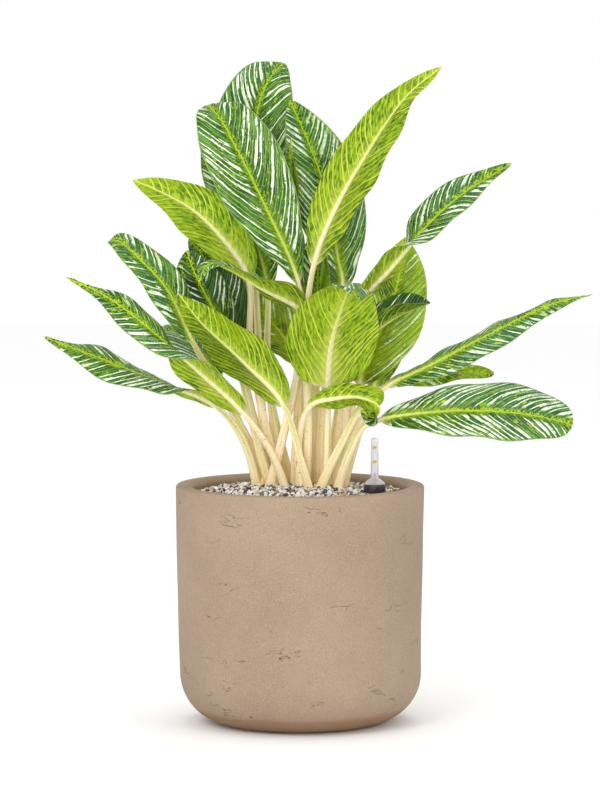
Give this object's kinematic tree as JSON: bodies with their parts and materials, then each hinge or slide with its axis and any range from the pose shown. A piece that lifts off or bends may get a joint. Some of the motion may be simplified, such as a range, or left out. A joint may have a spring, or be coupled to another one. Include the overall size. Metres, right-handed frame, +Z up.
{
  "type": "potted chinese evergreen",
  "caption": "Chinese evergreen with long feathered green leaves on pale stalks, in a round fibre-concrete pot of granulate with a sliding-float water level indicator.",
  "frame": {"origin": "middle of the pot's underside", "axes": "+Z up along the pot's axis, -Y towards the front, +X to the right seen from the front"},
  "size_m": [0.546, 0.355, 0.6623],
  "materials": {
    "pot_concrete": "matte, sandy, with small pits",
    "granulate": "matte loose pebbles, white, pale blue, cream and dark brown",
    "roots": "matte, fibrous",
    "leaf": "living leaf: satin above, dull below, dark green with lime middle and white streaks, cream stalk",
    "black_plastic": "matte",
    "clear_plastic": "clear, glossy",
    "white_foam": "matte",
    "red_plastic": "glossy"
  },
  "bodies": {
    "planter": {"granulate_bed": "granulate", "granulate_top": "granulate", "indicator_dome": "clear_plastic", "indicator_sleeve": "black_plastic", "leaf_back_centre": "leaf", "leaf_back_small": "leaf", "leaf_crown_back": "leaf", "leaf_front_ring": "leaf", "leaf_front_round": "leaf", "leaf_front_tall": "leaf", "leaf_left_behind": "leaf", "leaf_left_far": "leaf", "leaf_left_hook": "leaf", "leaf_left_inner": "leaf", "leaf_left_long": "leaf", "leaf_left_low": "leaf", "leaf_left_lowest": "leaf", "leaf_left_middle": "leaf", "leaf_left_raised": "leaf", "leaf_new_spear": "leaf", "leaf_rear_far_left": "leaf", "leaf_rear_far_right": "leaf", "leaf_rear_left": "leaf", "leaf_rear_middle": "leaf", "leaf_rear_right": "leaf", "leaf_right_back": "leaf", "leaf_right_beneath": "leaf", "leaf_right_broad": "leaf", "leaf_right_curl": "leaf", "leaf_right_far": "leaf", "leaf_right_long": "leaf", "leaf_right_low": "leaf", "leaf_right_tall": "leaf", "leaf_small_spear": "leaf", "new_shoot": "leaf", "pot": "pot_concrete", "root_ball": "roots"},
    "float": {"indicator_float": "white_foam", "indicator_needle": "red_plastic"}
  },
  "joints": [
    {"name": "float_slide", "type": "slide", "parent": "planter", "child": "float", "axis": [0, 0, 1], "range_m": [0, 0.026]}
  ]
}
